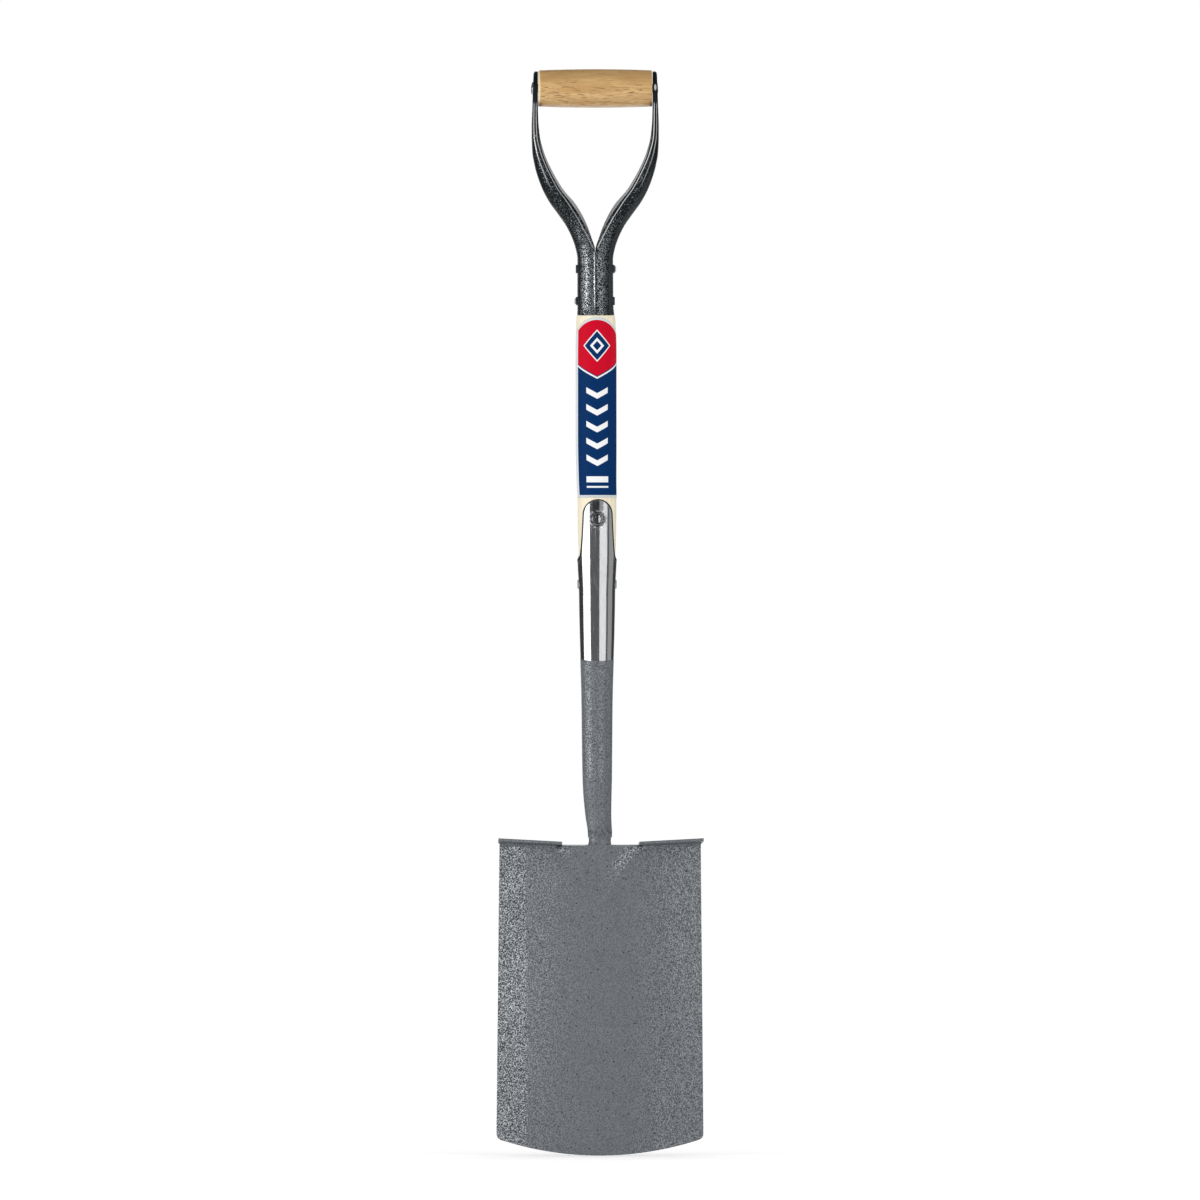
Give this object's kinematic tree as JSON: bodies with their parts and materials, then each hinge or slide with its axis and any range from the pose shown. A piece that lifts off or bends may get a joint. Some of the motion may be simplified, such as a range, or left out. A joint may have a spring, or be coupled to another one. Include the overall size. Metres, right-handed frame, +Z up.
{
  "type": "digging spade",
  "caption": "Digging spade: forged treaded head with a strapped socket, straight ash shaft and a pressed steel D handle with a wooden grip.",
  "frame": {"origin": "middle of the grip's underside on the shaft's axis, where the spade hangs on a hook", "axes": "+Z up along the shaft from the blade to the grip, -Y out of the blade's hollow front, +X towards the right-hand tread seen from the front"},
  "size_m": [0.1908, 0.0725, 1.0013],
  "materials": {
    "hammered_grey_paint": "hammered grey paint on forged steel, polished bright above the dip line of the straps",
    "hammered_black_paint": "glossy hammered black paint on pressed steel",
    "bare_steel": "bare rivet steel",
    "ash": "pale ash, lacquered",
    "varnished_hardwood": "golden varnish",
    "printed_film": null
  },
  "bodies": {
    "root": {"head": "hammered_grey_paint", "shaft": "ash", "handle_arm_left": "hammered_black_paint", "handle_arm_right": "hammered_black_paint", "grip": "varnished_hardwood", "grip_rivet": "bare_steel", "upper_sleeve_rivet": "hammered_black_paint", "upper_sleeve_washer": "hammered_black_paint", "lower_sleeve_rivet": "hammered_black_paint", "lower_sleeve_washer": "hammered_black_paint", "strap_rivet": "bare_steel", "socket_rivet": "bare_steel", "label": "printed_film"}
  },
  "joints": []
}
